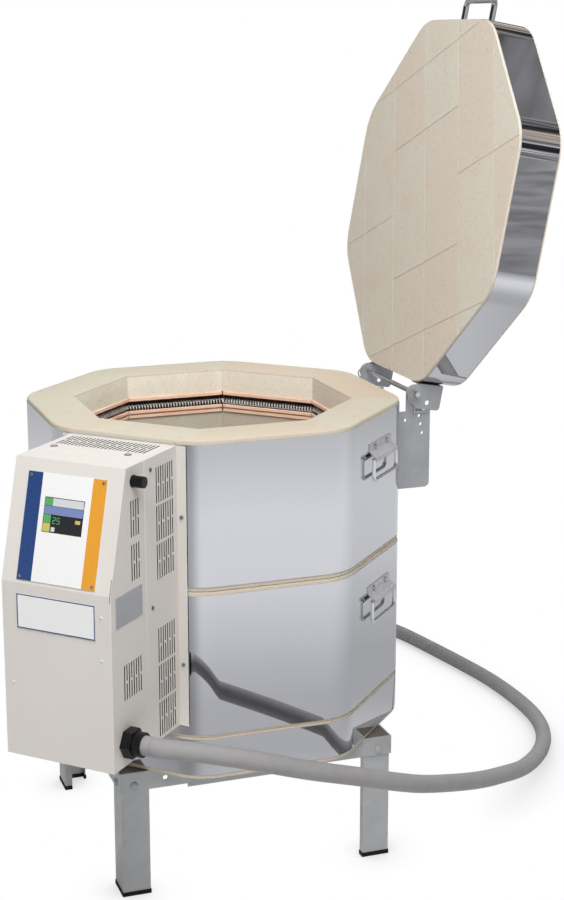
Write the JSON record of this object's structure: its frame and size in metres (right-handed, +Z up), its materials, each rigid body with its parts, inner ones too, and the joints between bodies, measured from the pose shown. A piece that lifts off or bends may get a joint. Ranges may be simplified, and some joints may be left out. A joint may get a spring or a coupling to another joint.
{
  "type": "electric kiln",
  "caption": "Octagonal top-loading electric kiln of stacked brick sections on a steel stand, with a hinged lid, drop handles, a side control box and a power conduit.",
  "frame": {"origin": "on the floor at the axis of the octagonal chamber", "axes": "+Z up, +Y to the lid hinge, -Y to the front where the lid is lifted, +X to the operator's right"},
  "size_m": [1.269, 1.1189, 1.3533],
  "materials": {
    "galvanised": "galvanised sheet",
    "trim": "soft black rubber",
    "bright_screw": "zinc plated",
    "brick": "matt insulating brick",
    "stainless": "mirror bright stainless sheet",
    "holder": "matt pink ceramic",
    "element": "fired resistance wire",
    "porcelain": "white ceramic",
    "brass": "bright",
    "chrome": "bright plated",
    "hinge_steel": "zinc plated",
    "box_paint": "off-white powder coat",
    "overlay": "printed plastic",
    "screen": "dark display glass",
    "white_plate": "white plastic",
    "silver_plate": "satin",
    "black_plastic": "black nylon",
    "board": "green circuit board",
    "winding": "laminated core",
    "conduit": "grey jacket"
  },
  "bodies": {
    "kiln": {"stand_frame": "galvanised", "legs": "galvanised", "foot_trims": "trim", "stand_bolts": "bright_screw", "slab_pan": "galvanised", "floor_slab": "brick", "floor_wrap": "stainless", "lower_bricks": "brick", "lower_wrap": "stainless", "upper_bricks": "brick", "upper_wrap": "stainless", "lower_holders": "holder", "upper_holders": "holder", "element_1": "element", "element_2": "element", "element_3": "element", "element_4": "element", "bushings": "porcelain", "terminals": "brass", "thermocouples": "porcelain", "hinge_rod": "bright_screw", "hitch_clips": "bright_screw", "hinge_plate_right": "hinge_steel", "hinge_plate_left": "hinge_steel", "hinge_screws": "bright_screw", "drop_brackets": "chrome", "drop_screws": "bright_screw", "terminal_box": "box_paint", "flange_screws": "bright_screw", "mid_panel": "galvanised", "control_box": "box_paint", "box_screws": "bright_screw", "graphic_panel": "overlay", "touch_screen": "screen", "panel_screws": "bright_screw", "name_plate": "white_plate", "rating_plate": "silver_plate", "fuse_holder": "black_plastic", "controller_board": "board", "relays": "black_plastic", "transformer": "winding", "terminal_block": "porcelain", "cord_gland": "black_plastic", "conduit": "conduit", "plug_body": "black_plastic", "plug_blades": "brass"},
    "lid": {"lid_slab": "brick", "lid_band": "stainless", "lid_handle": "chrome", "lid_handle_screws": "bright_screw", "lid_arm_right": "hinge_steel", "lid_arm_left": "hinge_steel", "arm_screws": "bright_screw"},
    "fuse_cap": {"fuse_cap": "black_plastic"},
    "bail_1": {"bail_1": "chrome"},
    "bail_2": {"bail_2": "chrome"},
    "bail_3": {"bail_3": "chrome"},
    "bail_4": {"bail_4": "chrome"}
  },
  "joints": [
    {"name": "lid_hinge", "type": "hinge", "parent": "kiln", "child": "lid", "pos_m": [0, 0.313, 0.7294], "axis": [1, 0, 0], "range_deg": [0, 100.5]},
    {"name": "bail_1_swing", "type": "hinge", "parent": "kiln", "child": "bail_1", "pos_m": [0.19622, 0.21885, 0.4326], "axis": [0.7071, -0.7071, 0], "range_deg": [-10, 95]},
    {"name": "bail_2_swing", "type": "hinge", "parent": "kiln", "child": "bail_2", "pos_m": [0.19622, 0.21885, 0.6612], "axis": [0.7071, -0.7071, 0], "range_deg": [-10, 95]},
    {"name": "bail_3_swing", "type": "hinge", "parent": "kiln", "child": "bail_3", "pos_m": [-0.19622, -0.21885, 0.4326], "axis": [-0.7071, 0.7071, 0], "range_deg": [-10, 95]},
    {"name": "bail_4_swing", "type": "hinge", "parent": "kiln", "child": "bail_4", "pos_m": [-0.19622, -0.21885, 0.6612], "axis": [-0.7071, 0.7071, 0], "range_deg": [-10, 95]},
    {"name": "fuse_cap_turn", "type": "hinge", "parent": "kiln", "child": "fuse_cap", "pos_m": [0.35426, -0.22839, 0.6982], "axis": [0.7071, 0.7071, 0], "range_deg": [0, 60]}
  ]
}
